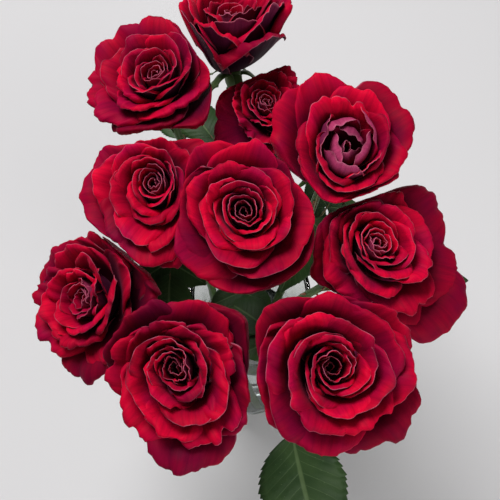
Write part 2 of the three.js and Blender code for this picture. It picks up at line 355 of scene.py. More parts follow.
def middle_line(node, stations):
    """The middle of a rising tube, from its slices at even heights. The slices near its ends cut
    across the end faces, so they are left out and the two ends are found from the corners."""
    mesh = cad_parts[node].data
    places = np.array([vertex.co[:] for vertex in mesh.vertices])
    edges = np.array([edge.vertices[:] for edge in mesh.edges])
    start, end = places[edges[:, 0]], places[edges[:, 1]]
    low, high = places[:, 2].min(), places[:, 2].max()
    line = []
    for height in np.linspace(low, high, stations + 2)[1:-1]:
        crossing = (start[:, 2] - height) * (end[:, 2] - height) < 0
        first, last = start[crossing], end[crossing]
        share = (height - first[:, 2]) / (last[:, 2] - first[:, 2])
        cut = first + share[:, None] * (last - first)
        line.append(np.unique(cut.round(6), axis=0).mean(axis=0))
    line = np.array(line)[2:-4]
    lowest = line[0] - unit(line[1] - line[0]) * (line[0, 2] - low - 0.0005)
    ends = places[places[:, 2] > high - 0.012]
    top = ends[np.argsort(ends @ unit(line[-1] - line[-3]))[-8:]].mean(axis=0)
    line = np.vstack([lowest, line, top])
    for _ in range(4):
        line[1:-1] = 0.25 * line[:-2] + 0.5 * line[1:-1] + 0.25 * line[2:]
    return line


def square_to(line):
    """Two directions square to a line at each of its points."""
    tangent = unit(np.gradient(line, axis=0))
    side = unit(np.cross(tangent, [0.0, 1.0, 0.0]))
    return side, np.cross(tangent, side)


def tube(line, radius, sides):
    """Points, faces and uv of a closed tube round a line; radius has a value for each point."""
    side, other = square_to(line)
    turns = np.linspace(0, 2 * math.pi, sides, endpoint=False)
    out = np.cos(turns)[:, None] * side[:, None] + np.sin(turns)[:, None] * other[:, None]
    points = line[:, None] + np.asarray(radius)[:, None, None] * out
    points = np.vstack([points.reshape(-1, 3), line[0], line[-1]])
    length = np.concatenate([[0], np.cumsum(np.linalg.norm(np.diff(line, axis=0), axis=1))])
    uv = np.stack(np.broadcast_arrays(turns[None] / (2 * math.pi), length[:, None]), axis=-1)
    uv = np.vstack([uv.reshape(-1, 2), [0.5, 0], [0.5, length[-1]]])
    return points, capped_rings(len(line), sides), uv


def join(parts):
    """Joins (points, faces, uv) parts, whose faces are lists of quads and of triangles."""
    count = 0
    quads, triangles = [], []
    for points, faces, _ in parts:
        for group in faces:
            (quads if np.shape(group)[1] == 4 else triangles).append(np.asarray(group) + count)
        count += len(points)
    points = np.vstack([part[0] for part in parts])
    uv = np.vstack([part[2] for part in parts])
    faces = [np.vstack(group) for group in (quads, triangles) if group]
    return points, faces, uv


def maths(tree, operation, one, other=0.0, third=0.0):
    """The result of a maths node."""
    sources = {0: one, 1: other, 2: third}
    return wire(tree, "ShaderNodeMath", sources, operation=operation).outputs[0]


def scaled(tree, value, low, high, first=0.0, last=1.0):
    """A value stretched from one span to another, and held inside it."""
    span = {"Value": value, 1: low, 2: high, 3: first, 4: last}
    return wire(tree, "ShaderNodeMapRange", span).outputs[0]


def blend(tree, share, one, other, way="MIX"):
    """One colour blended with another."""
    sources = {0: share, 6: one, 7: other}
    return wire(tree, "ShaderNodeMix", sources, data_type="RGBA", blend_type=way).outputs[2]


def new_tree(name, kind, inputs, outputs):
    """An empty node tree with the named inputs and outputs: the tree, its inputs and its end."""
    tree = bpy.data.node_groups.new(name, kind)
    for way, sockets in (("OUTPUT", outputs), ("INPUT", inputs)):
        for label, socket in sockets.items():
            tree.interface.new_socket(label, in_out=way, socket_type="NodeSocket" + socket)
    given = tree.nodes.new("NodeGroupInput").outputs
    return tree, given, tree.nodes.new("NodeGroupOutput")


def grown(mesh, tree, values):
    """The plain mesh that a tree makes of a mesh, with its inputs set by their identifiers."""
    seed = bpy.data.objects.new("seed", mesh)
    scene.collection.objects.link(seed)
    modifier = seed.modifiers.new("grow", "NODES")
    modifier.node_group = tree
    for item in tree.interface.items_tree:
        if item.in_out == "INPUT" and item.name in values:
            modifier[item.identifier] = values[item.name]
    depsgraph = bpy.context.evaluated_depsgraph_get()
    result = bpy.data.meshes.new_from_object(seed.evaluated_get(depsgraph))
    bpy.data.objects.remove(seed)
    return result


def mesh_part(mesh):
    """A mesh of triangles as (points, faces, uv), with an empty uv."""
    mesh.calc_loop_triangles()
    points = np.array([vertex.co[:] for vertex in mesh.vertices])
    faces = np.array([triangle.vertices[:] for triangle in mesh.loop_triangles])
    return points, [faces], np.zeros((len(points), 2))


def random_size(tree, least, most, seed):
    """A size for each copy, drawn at random."""
    sources = {2: least, 3: most, "Seed": seed}
    return wire(tree, "FunctionNodeRandomValue", sources, data_type="FLOAT").outputs[1]


def set_out(tree, end, copies, material):
    """Ends a tree with a piece copied onto points, as the copies' inputs say, in one finish."""
    copied = wire(tree, "GeometryNodeInstanceOnPoints", copies)
    real = wire(tree, "GeometryNodeRealizeInstances", {"Geometry": copied.outputs[0]})
    sources = {"Geometry": real.outputs[0], "Material": material}
    coated = wire(tree, "GeometryNodeSetMaterial", sources)
    set_inputs(end, {"Geometry": coated.outputs[0]})


def thorn_tree():
    """Thorns spaced along a line: cones with a long foot, hooked downwards, turned step by step."""
    measures = ["Spacing", "Length", "Stem Radius", "Bare Below", "Share Kept"]
    inputs = {"Geometry": "Geometry", "Seed": "Int", **dict.fromkeys(measures, "Float")}
    tree, given, end = new_tree("thorns", "GeometryNodeTree", inputs, {"Geometry": "Geometry"})
    line = wire(tree, "GeometryNodeMeshToCurve", {"Mesh": given["Geometry"]})
    spots = wire(
        tree,
        "GeometryNodeCurveToPoints",
        {"Curve": line.outputs[0], "Length": given["Spacing"]},
        mode="LENGTH",
    )
    place = wire(tree, "GeometryNodeInputPosition")
    height = wire(tree, "ShaderNodeSeparateXYZ", {0: place.outputs[0]})
    low = wire(
        tree,
        "FunctionNodeCompare",
        {0: height.outputs["Z"], 1: given["Bare Below"]},
        operation="LESS_THAN",
    )
    kept = wire(
        tree,
        "FunctionNodeRandomValue",
        {"Probability": given["Share Kept"], "Seed": given["Seed"]},
        data_type="BOOLEAN",
    )
    missing = wire(tree, "FunctionNodeBooleanMath", {0: kept.outputs[3]}, operation="NOT")
    gone = wire(
        tree,
        "FunctionNodeBooleanMath",
        {0: low.outputs[0], 1: missing.outputs[0]},
        operation="OR",
    )
    left = wire(
        tree,
        "GeometryNodeDeleteGeometry",
        {"Geometry": spots.outputs["Points"], "Selection": gone.outputs[0]},
    )
    cone = wire(
        tree,
        "GeometryNodeMeshCone",
        {"Vertices": 8, "Side Segments": 5, "Radius Top": 0.02, "Radius Bottom": 0.24, "Depth": 1},
    )
    spot = wire(tree, "ShaderNodeSeparateXYZ", {0: place.outputs[0]})
    hook = maths(tree, "POWER", spot.outputs["Z"], THORN_BEND)
    foot = maths(tree, "MULTIPLY", spot.outputs["X"], THORN_FOOT)
    drop = maths(tree, "MULTIPLY_ADD", hook, -THORN_HOOK, foot)
    hooked = wire(
        tree,
        "ShaderNodeCombineXYZ",
        {"X": spot.outputs["Z"], "Y": spot.outputs["Y"], "Z": drop},
    )
    thorn = wire(
        tree,
        "GeometryNodeSetPosition",
        {"Geometry": cone.outputs["Mesh"], "Position": hooked.outputs[0]},
    )
    # laying the cone down swaps two of its axes, which turns it inside out
    righted = wire(tree, "GeometryNodeFlipFaces", {"Mesh": thorn.outputs[0]})
    away = wire(tree, "ShaderNodeCombineXYZ", {"X": given["Stem Radius"]})
    sized = wire(
        tree,
        "GeometryNodeTransform",
        {
            "Geometry": righted.outputs[0],
            "Translation": away.outputs[0],
            "Scale": given["Length"],
        },
    )
    number = wire(tree, "GeometryNodeInputIndex")
    turn = maths(tree, "MULTIPLY_ADD", number.outputs[0], GOLDEN_ANGLE, given["Seed"])
    spin = wire(tree, "ShaderNodeCombineXYZ", {"Z": turn})
    facing = wire(
        tree,
        "FunctionNodeRotateRotation",
        {"Rotation": spots.outputs["Rotation"], "Rotate By": spin.outputs[0]},
        rotation_space="LOCAL",
    )
    set_out(
        tree,
        end,
        {
            "Points": left.outputs[0],
            "Instance": sized.outputs[0],
            "Rotation": facing.outputs[0],
            "Scale": random_size(tree, 0.6, 1.15, given["Seed"]),
        },
        thorn_finish,
    )
    return tree


def mottle_group(name):
    """Shader group: a soft mottled mix of two colours, with a fine grain for a bump."""
    scales = {"Patch Scale": "Float", "Grain Scale": "Float"}
    inputs = {"Colour A": "Color", "Colour B": "Color", **scales}
    outputs = {"Colour": "Color", "Grain": "Float"}
    group, given, end = new_tree(name, "ShaderNodeTree", inputs, outputs)
    place = wire(group, "ShaderNodeTexCoord").outputs["Object"]
    spread = scaled(group, noise(group, place, given["Patch Scale"]), 0.35, 0.65)
    colour = blend(group, spread, given["Colour A"], given["Colour B"])
    set_inputs(end, {"Colour": colour, "Grain": noise(group, place, given["Grain Scale"])})
    return group


mottle = mottle_group("mottle")


def plant_finish(name, colours, scales, roughness, relief):
    """A mottled plant skin, with its grain as a fine relief of this depth."""
    material, tree, shader = new_finish(name)
    looks = {
        "Colour A": (*colours[0], 1),
        "Colour B": (*colours[1], 1),
        "Patch Scale": scales[0],
        "Grain Scale": scales[1],
    }
    skin = wire(tree, "ShaderNodeGroup", looks, node_tree=mottle).outputs
    set_inputs(
        shader,
        {
            "Base Color": skin["Colour"],
            "Normal": bump(tree, skin["Grain"], 0.5, relief),
            "Roughness": roughness,
            "Specular IOR Level": 0.4,
        },
    )
    return material


stem_finish = plant_finish(
    "stem_bark", ((0.06, 0.13, 0.025), (0.10, 0.17, 0.045)), (90, 900), 0.42, 0.0003
)
thorn_finish = plant_finish(
    "thorn_horn", ((0.20, 0.05, 0.03), (0.32, 0.12, 0.06)), (300, 1500), 0.4, 0.0001
)
thorns = thorn_tree()
stem_lines = {}
for order, number in enumerate(BLOOM_NUMBERS):
    line = middle_line(f"stem_{number}", STEM_STATIONS)
    stem_lines[number] = line
    share = np.linspace(0, 1, len(line))
    radius = STEM_RADIUS * (1 + STEM_TAPER * (0.5 - share))
    radius = radius + STEM_SWELL * np.exp(-((1 - share) / 0.02) ** 2)
    radius = radius + 0.00012 * np.sin(23 * share + order) + 0.0001 * np.sin(51 * share + 2 * order)
    points, faces, uv = tube(line, radius, STEM_SIDES)
    # the cut: the lowest rings slope across the stem
    low_end = np.arange(len(points) - 2) // STEM_SIDES < 4
    slope = (points[:-2][low_end] - line[0]) @ square_to(line)[0][0]
    points[:-2][low_end, 2] += CUT_SLANT * (slope + STEM_RADIUS)
    points[-2, 2] += CUT_SLANT * STEM_RADIUS
    wood = len(faces[0])
    spine = bpy.data.meshes.new("spine")
    spine.from_pydata(line.tolist(), [(a, a + 1) for a in range(len(line) - 1)], [])
    thorn_sizes = {
        "Spacing": 0.0085,
        "Length": 0.0042,
        "Stem Radius": 0.9 * STEM_RADIUS,
        "Bare Below": vase_top - 0.01,
        "Share Kept": 0.42,
        "Seed": order,
    }
    sharp = grown(spine, thorns, thorn_sizes)
    points, faces, uv = join([(points, faces, uv), mesh_part(sharp)])
    finish = np.zeros(sum(len(group) for group in faces), int)
    finish[wood + 2 * STEM_SIDES :] = 1
    stem = add_piece(f"rose_stem_{number}", points, faces, [stem_finish, thorn_finish], finish, uv)
    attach(stem, "root")
    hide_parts(f"stem_{number}")

# ---- Leaves ------------------------------------------------------------------------------------
# Compound rose leaves: thin toothed leaflets in pairs along a stalk, with one at its end. They are
# folded along the midrib and quilted between their side veins, and the underside is paler.

# The bloom whose stem each leaf grows on, its pairs of leaflets, and how far it sweeps sideways.
LEAVES = [
    ("10", 0, 0.032),
    ("07", 1, 0.006),
    ("07", 2, -0.008),
    ("08", 1, -0.006),
    ("08", 2, 0.008),
    ("09", 2, 0.010),
    ("05", 2, -0.004),
    ("02", 2, 0.008),
    ("01", 2, -0.008),
    ("04", 2, 0.008),
    ("03", 2, 0.006),
    ("06", 1, -0.004),
    ("05", 1, 0.006),
    ("04", 1, -0.005),
    ("01", 1, 0.005),
    ("10", 1, 0.005),
]
END_LEAFLET = [0.58, 0.58, 0.46]  # its share of the leaf, for none, one and two pairs
LEAFLET_WIDTH = 0.34
LEAF_ARCH = 0.16
PAIR_ANGLE = math.radians(62)
FIRST_PAIR = 0.7  # how far along the stalk the first pair stands, and its size to the end leaflet
PAIR_SPACING = 0.36
PAIR_SHRINK = 0.12
TEETH = 18
SIDE_VEINS = 10
VEIN_RUN = 0.24  # how far a side vein runs forward, as a share of the leaflet's length
LEAF_COLUMNS = 15
LEAF_THICKNESS = 0.0003
STALK_RADIUS = 0.0012
STALK_STATIONS = 24
STALK_SIDES = 8


def ease(x, low, high):
    """0 below low and 1 above high, with soft ends between."""
    share = np.clip((x - low) / (high - low), 0.0, 1.0)
    return share * share * (3.0 - 2.0 * share)


def grid_normals(points):
    """The direction square to a grid of points, on its upper or inner side."""
    normal = np.cross(np.gradient(points, axis=1), np.gradient(points, axis=0))
    return normal / np.maximum(np.linalg.norm(normal, axis=-1, keepdims=True), 1e-9)


def sheet_solid(points, thickness):
    """Points, faces, uv and fields of a thin closed solid round a grid of points. The fields say
    which face a point is on, how near it is to the margin and how far along it is."""
    columns, rows = points.shape[:2]
    offset = 0.5 * thickness * grid_normals(points)
    both = np.concatenate([(points + offset).reshape(-1, 3), (points - offset).reshape(-1, 3)])
    here = np.arange(columns * rows).reshape(columns, rows)
    inner = np.stack([here[:-1, :-1], here[:-1, 1:], here[1:, 1:], here[1:, :-1]], axis=-1)
    inner = inner.reshape(-1, 4)
    count = columns * rows
    loop = np.concatenate([here[:, 0], here[-1, 1:], here[-2::-1, -1], here[0, -2:0:-1]])
    ahead = np.roll(loop, -1)
    rim = np.stack([loop, ahead, ahead + count, loop + count], axis=-1)
    across, along = np.meshgrid(
        np.linspace(0, 1, columns), np.linspace(0, 1, rows), indexing="ij"
    )
    uv = np.stack([across.ravel(), along.ravel()], axis=-1)
    inset = np.minimum(np.minimum(across, 1 - across) * 2, 1 - along).ravel()
    fields = {
        "outside": np.repeat([0.0, 1.0], count),
        "inset": np.tile(inset, 2),
        "rise": np.tile(along.ravel(), 2),
    }
    faces = [np.vstack([inner, inner[:, ::-1] + count, rim])]
    return both, faces, np.tile(uv, (2, 1)), fields


def join_fields(parts, labels):
    """Each field of some parts, end to end. A part without fields has zeros."""
    whole = {}
    for label in labels:
        values = [part[3][label] if len(part) > 3 else np.zeros(len(part[0])) for part in parts]
        whole[label] = np.concatenate(values)
    return whole


def leaflet_sheet(length, rng):
    """A leaflet's middle surface along +X from its base, as a grid [column, row]."""
    across = np.linspace(-1, 1, LEAF_COLUMNS)[:, None]
    along = np.linspace(0, 1, 4 * TEETH + 1)[None, :]
    out = np.abs(across)
    half = LEAFLET_WIDTH * length * np.sin(math.pi * along**0.8) ** 0.8
    half = half * (1 - 0.3 * ease(along, 0.7, 1.0)) + 0.0005
    tooth = ((along * TEETH) % 1.0) * ease(along, 0.04, 0.12) * (1 - along)
    y = across * half + np.sign(across) * out**10 * 0.045 * length * tooth
    x = length * along + 0.02 * length * out**10 * tooth
    widest = LEAFLET_WIDTH * length
    fold = rng.uniform(0.15, 0.4)
    z = fold * np.abs(y) - (fold + 0.25) * 0.6 * y * y / widest
    z = z - rng.uniform(0.04, 0.16) * length * along**2
    phase = SIDE_VEINS * (along - VEIN_RUN * out)
    bulge = 4 * out * (1 - out) * ease(along, 0.02, 0.1)
    z = z - 0.006 * length * np.cos(2 * math.pi * phase) * bulge
    wave = np.sin(rng.uniform(6, 11) * along + rng.uniform(0, 6) + 1.2 * np.sign(across))
    z = z + 0.022 * length * wave * out**2
    y = y + rng.uniform(-0.05, 0.05) * length * along**2
    return np.stack(np.broadcast_arrays(x, y, z), axis=-1)


def leaf_place(node, stem_line):
    """A leaf's start, its length, and its forward, left and upward directions."""
    outline = corners(node)
    gaps = np.linalg.norm(outline[:, None] - stem_line[None], axis=2).min(axis=1)
    start = outline[np.argmin(gaps)]
    ahead = outline[np.argmax(np.linalg.norm(outline - start, axis=1))] - start
    forward = unit(ahead)
    flat = np.linalg.svd(outline - outline.mean(axis=0))[2][2]
    flat = flat * np.sign(flat[2])
    up = unit(flat - (flat @ forward) * forward)
    return start, np.linalg.norm(ahead), np.stack([forward, np.cross(up, forward), up])


def leaf_finish(name):
    """Waxy leaf skin: dark above and paler below, with pale veins that lie in fine grooves."""
    material, tree, shader = new_finish(name)
    surface = wire(tree, "ShaderNodeTexCoord").outputs
    place = wire(tree, "ShaderNodeSeparateXYZ", {0: surface["UV"]}).outputs
    out = maths(tree, "ABSOLUTE", maths(tree, "MULTIPLY_ADD", place["X"], 2.0, -1.0))
    run = maths(tree, "SUBTRACT", place["Y"], maths(tree, "MULTIPLY", out, VEIN_RUN))
    phase = maths(tree, "FRACT", maths(tree, "MULTIPLY", run, SIDE_VEINS))
    nearness = maths(tree, "ABSOLUTE", maths(tree, "SUBTRACT", phase, 0.5))
    side_vein = scaled(tree, nearness, 0.44, 0.5, 0, 0.55)
    side_vein = maths(tree, "MULTIPLY", side_vein, scaled(tree, out, 0.3, 1, 1, 0.2))
    veins = maths(tree, "MAXIMUM", side_vein, scaled(tree, out, 0.03, 0.07, 1, 0))
    underside = wire(tree, "ShaderNodeAttribute", attribute_name="outside").outputs["Fac"]
    patch = scaled(tree, noise(tree, surface["Object"], 45), 0.35, 0.65)
    top = blend(tree, patch, (0.022, 0.058, 0.014, 1), (0.042, 0.088, 0.024, 1))
    skin = blend(tree, underside, top, (0.11, 0.17, 0.075, 1))
    colour = blend(tree, maths(tree, "MULTIPLY", veins, 0.6), skin, (0.15, 0.23, 0.09, 1))
    meshwork = wire(tree, "ShaderNodeTexVoronoi", {"Vector": surface["Object"], "Scale": 900})
    height = maths(tree, "SUBTRACT", maths(tree, "MULTIPLY", meshwork.outputs[0], 0.35), veins)
    set_inputs(
        shader,
        {
            "Base Color": colour,
            "Normal": bump(tree, height, 0.5, 0.0003),
            "Roughness": 0.5,
            "Specular IOR Level": 0.25,
        },
    )
    return material


leaf_skin = leaf_finish("leaf_skin")
stalk_finish = plant_finish(
    "leaf_stalk_skin", ((0.09, 0.13, 0.035), (0.16, 0.07, 0.04)), (60, 900), 0.45, 0.0002
)
for order, (bloom, pairs, sweep) in enumerate(LEAVES):
    node = f"leaf_{order + 1:02d}"
    rng = np.random.default_rng(700 + order)
    start, length, directions = leaf_place(node, stem_lines[bloom])

    def placed(points):
        """Carries points from the flat leaf to its arched and swept place."""
        share = points[..., :1] / length
        bow = share - share**2
        shift = bow * np.array([0.0, -sweep, LEAF_ARCH * length])
        return start + (points + shift) @ directions

    end_length = END_LEAFLET[pairs] * length
    stalk_length = length - end_length
    parts = []
    spots = [(stalk_length, 0.0, end_length)]
    for pair in range(pairs):
        size = end_length * (FIRST_PAIR - PAIR_SHRINK * pair)
        along = stalk_length * (FIRST_PAIR - PAIR_SPACING * pair)
        spots += [(along, side * PAIR_ANGLE, size) for side in (-1, 1)]
    for along, angle, size in spots:
        angle = angle + rng.normal(0, 0.05)
        turn = np.array([[math.cos(angle), math.sin(angle)], [-math.sin(angle), math.cos(angle)]])
        sheet = leaflet_sheet(size, rng)
        flat = sheet[..., :2] @ turn
        tilt = rng.normal(0, 0.08) * sheet[..., :1]
        sheet = np.concatenate([flat + [along, 0.0], sheet[..., 2:] + tilt], axis=-1)
        parts.append(sheet_solid(placed(sheet), LEAF_THICKNESS))
    blades = sum(len(part[1][0]) for part in parts)
    # the stalk starts inside the stem, and runs on under the end leaflet
    reach = np.linspace(-0.0035, stalk_length + 0.004, STALK_STATIONS)
    stalk_line = placed(np.stack([reach, 0 * reach, 0 * reach], axis=-1))
    stalk_radius = np.linspace(STALK_RADIUS, STALK_RADIUS / 2, STALK_STATIONS)
    parts.append(tube(stalk_line, stalk_radius, STALK_SIDES))
    fields = join_fields(parts, ["outside"])
    points, faces, uv = join([part[:3] for part in parts])
    finish = np.zeros(sum(len(group) for group in faces), int)
    finish[blades:] = 1
    leaf = add_piece(f"rose_{node}", points, faces, [leaf_skin, stalk_finish], finish, uv, fields)
    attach(leaf, "root")
    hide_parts(node)

# ---- Calyxes -----------------------------------------------------------------------------------
# Under each bloom is a smooth green hip with five narrow sepals, which are turned down and end in
# long tips. The hip is turned and one sepal is modelled, then repeated round it.

HIP_LENGTH = 0.015
HIP_RADIUS = 0.0064
SEPAL_LENGTH = 0.024
SEPAL_HALF_WIDTH = 0.0034
SEPAL_DROP = 0.012
SEPAL_THICKNESS = 0.0005
HIP_SIDES = 24
# The hip's outline from below: its radius in hip radiuses and its height in hip lengths.
HIP_PROFILE = [(0, -1.03), (0.5, -1.02), (0.6, -0.95), (0.72, -0.8), (0.9, -0.62), (1.0, -0.42)]
HIP_PROFILE += [(0.98, -0.22), (0.88, -0.05), (0.7, 0.04), (0, 0.06)]


def bloom_frame(number):
    """Where a bloom sits: the middle of its base, its radius, its height, and its three directions
    as rows."""
    bowl = corners(f"outer_petals_{number}")
    heart = corners(f"inner_petals_{number}")
    axis = unit(heart.mean(axis=0) - corners(f"calyx_{number}").mean(axis=0))
    base = heart.mean(axis=0)
    base = base + axis * ((bowl - base) @ axis).min()
    height = ((heart - base) @ axis).max()
    out = bowl - base
    out = out - np.outer(out @ axis, axis)
    right = unit(np.array([1.0, 0.0, 0.0]) - axis[0] * axis)
    directions = np.stack([right, np.cross(axis, right), axis])
    return base, np.linalg.norm(out, axis=1).max(), height, directions


def sepal_mesh():
    """One sepal along +X: a narrow sheet with two small side lobes and a long tip."""
    across = np.linspace(-1, 1, 7)[:, None]
    along = np.linspace(0, 1, 25)[None, :]
    half = SEPAL_HALF_WIDTH * (1 - along) ** 0.75 * (0.75 + 0.25 * ease(along, 0, 0.2)) + 0.0002
    for spot in (0.42, 0.62):
        half = half + 0.0013 * np.exp(-(((along - spot) / 0.035) ** 2)) * np.abs(across) ** 4
    x = 0.75 * HIP_RADIUS + SEPAL_LENGTH * along
    y = across * half
    z = -0.0008 - SEPAL_DROP * along**2 - 0.25 * y * y / SEPAL_HALF_WIDTH
    z = z + 0.0012 * np.sin(9 * along)
    sheet = np.stack(np.broadcast_arrays(x, y, z), axis=-1)
    points, faces, _, _ = sheet_solid(sheet, SEPAL_THICKNESS)
    mesh = bpy.data.meshes.new("sepal")
    mesh.from_pydata(points.tolist(), [], faces[0].tolist())
    return mesh


def sepal_tree():
    """Repeats a mesh round the Z axis, with each one a little different in size and slope."""
    inputs = {"Geometry": "Geometry", "Count": "Int", "Uneven": "Float", "Seed": "Int"}
    tree, given, end = new_tree("sepals", "GeometryNodeTree", inputs, {"Geometry": "Geometry"})
    spots = wire(
        tree, "GeometryNodeMeshCircle", {"Vertices": given["Count"], "Radius": 0.00001}
    )
    number = wire(tree, "GeometryNodeInputIndex")
    step = maths(tree, "DIVIDE", 2 * math.pi, given["Count"])
    turn = maths(tree, "MULTIPLY", number.outputs[0], step)
    least = maths(tree, "SUBTRACT", 1.0, given["Uneven"])
    size = random_size(tree, least, maths(tree, "ADD", 1.0, given["Uneven"]), given["Seed"])
    slope = maths(tree, "SUBTRACT", size, 1.0)
    facing = wire(tree, "ShaderNodeCombineXYZ", {"Y": slope, "Z": turn})
    set_out(
        tree,
        end,
        {
            "Points": spots.outputs[0],
            "Instance": given["Geometry"],
            "Rotation": facing.outputs[0],
            "Scale": size,
        },
        calyx_finish,
    )
    return tree


calyx_finish = plant_finish(
    "calyx_skin", ((0.07, 0.14, 0.03), (0.12, 0.19, 0.05)), (120, 900), 0.45, 0.0002
)
sepals = sepal_tree()
hip_points, hip_faces = turned(np.array(HIP_PROFILE) * [HIP_RADIUS, HIP_LENGTH], HIP_SIDES)
for order, number in enumerate(BLOOM_NUMBERS):
    ring = grown(sepal_mesh(), sepals, {"Count": 5, "Uneven": 0.14, "Seed": order})
    hip_part = (hip_points, hip_faces, np.zeros((len(hip_points), 2)))
    points, faces, uv = join([hip_part, mesh_part(ring)])
    base, _, _, directions = bloom_frame(number)
    calyx = add_piece(f"rose_calyx_{number}", base + points @ directions, faces, [calyx_finish])
    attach(calyx, "root")
    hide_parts(f"calyx_{number}")

# ---- Blooms ------------------------------------------------------------------------------------
# Each bloom is a spiral of thin petals on a green hip: a tightly wound heart, then wider and wider
# petals that open outwards, with their margins rolled back. The petals are velvety red inside and
# duller and duskier outside, with painted shade towards their feet and on the outer petals' outer
# faces, and a painted highlight along their margins.

PETAL_ROWS = 24
PETAL_COLUMNS = 31
PETAL_THICKNESS = 0.00035
GUARD_SHADE = 0.5  # how much darker the guard petals are
CURL = 55  # how far the very margin curls back, in degrees
CROWDING = 0.88  # below 1, the petals stand closer together towards the outside
HEART_SHARE = 0.4  # the inner part of the spiral, which is the inner petals' piece

# Two neighbouring blooms meet at a plane between them, and each keeps to its own side of it.
ROOM_GAP = 0.0006  # how far they stay from the plane
MIDDLE_RISE = 0.6  # how high a bloom's middle is, as a share of its height
FREE_SHARE = 0.72  # how far towards the plane petals go before they are pressed back
FACING = 0.4  # how squarely a guard petal faces a neighbour that it opens towards
PRESS = 1.12  # how far it would then reach, with the plane at 1
LEAST_SPREAD = 0.85  # how far it opens at the least and at the most, with the usual at 1
MOST_SPREAD = 1.45
FAR_SPREAD = 1.7  # a neighbour further off than this does not count

# What one petal is like at each of these stations, from the heart (0) to the guard petals (1), in
# shares of the bloom's radius and in degrees.
STATIONS = [0.0, 0.15, 0.3, 0.45, 0.6, 0.75, 0.9, 1.0]
RIM_REACH = [0.03, 0.12, 0.23, 0.40, 0.60, 0.80, 1.00, 1.15]
RIM_RISE = [0.76, 0.82, 0.88, 0.96, 1.00, 0.96, 0.84, 0.70]
RIM_LEAN = [98, 92, 85, 72, 54, 34, 10, -14]
RIM_ROLL = [3, 5, 7, 10, 15, 22, 32, 42]
HALF_WIDTH = [0.28, 0.38, 0.46, 0.54, 0.62, 0.68, 0.74, 0.78]

# How each bloom differs from an even, fully open one:
# petals, start: how many petals it has, and the angle of the first
# open, bud: how far its petals lean outwards, and how tightly those in the middle close over it
# tuck: how much further out a petal's one side lies than its other, which makes the spiral
# hollow, heart: how deep its heart lies, and how far that is off the middle
# splay, splay_to: how much further its guard petals open on one side, and that side's compass angle
# fill: how much of the room up to its neighbours its guard petals take up
# roll, ruffle: how far its margins roll back, and how much they wave
# side, flat: how far a petal's sides stand out, and how flat it is across
# broad, long: its size from side to side and from front to back
EVEN_BLOOM = {
    "petals": 32,
    "start": 0.3,
    "tuck": 1.2,
    "open": 1.0,
    "hollow": 0.0,
    "splay": 0.0,
    "splay_to": 0,
    "roll": 1.0,
    "side": 0.02,
    "flat": 0.15,
    "ruffle": 0.028,
    "heart": (0.0, 0.0),
    "bud": 0.0,
    "broad": 1.0,
    "long": 1.0,
    "fill": 1.0,
}
BLOOMS = {
    "01": {"seed": 13, "petals": 26, "open": 0.36, "roll": 1.5, "fill": 0.0, "broad": 1.1, "long": 1.08},
    "02": {"seed": 22, "heart": (0.1, -0.05), "splay": 1.5, "splay_to": 300, "broad": 1.03},
    "03": {
        "seed": 33,
        "petals": 28,
        "open": 0.5,
        "ruffle": 0.055,
        "splay": 2.4,
        "splay_to": 190,
        "broad": 1.08,
    },
    "04": {
        "seed": 44,
        "petals": 24,
        "bud": 2.2,
        "splay": 0.8,
        "splay_to": 80,
        "fill": 0.3,
        "long": 1.2,
    },
    "05": {
        "seed": 55,
        "heart": (0.2, 0.2),
        "side": 0.04,
        "splay": 1.4,
        "splay_to": 70,
        "fill": 0.0,
        "long": 1.25,
    },
    "06": {"seed": 66, "hollow": 0.2, "heart": (0.03, 0.06), "broad": 1.04, "long": 1.06},
    "07": {
        "seed": 77,
        "tuck": 1.6,
        "ruffle": 0.034,
        "heart": (-0.1, 0.05),
        "splay": 2.4,
        "splay_to": 20,
        "broad": 1.05,
    },
    "08": {"seed": 88, "petals": 30, "ruffle": 0.045, "hollow": 0.12, "splay": 3.2, "splay_to": 20},
    "09": {
        "seed": 99,
        "petals": 30,
        "tuck": 1.7,
        "ruffle": 0.042,
        "side": 0.04,
        "hollow": 0.14,
        "heart": (-0.08, 0.24),
        "splay": 1.2,
        "splay_to": 75,
    },
    "10": {"seed": 110, "tuck": 2.2, "hollow": 0.24, "heart": (0.0, 0.08), "broad": 1.02},
}


def at_station(t, values):
    """A value from one of the tables above, for a petal at t."""
    return np.interp(t, STATIONS, values)


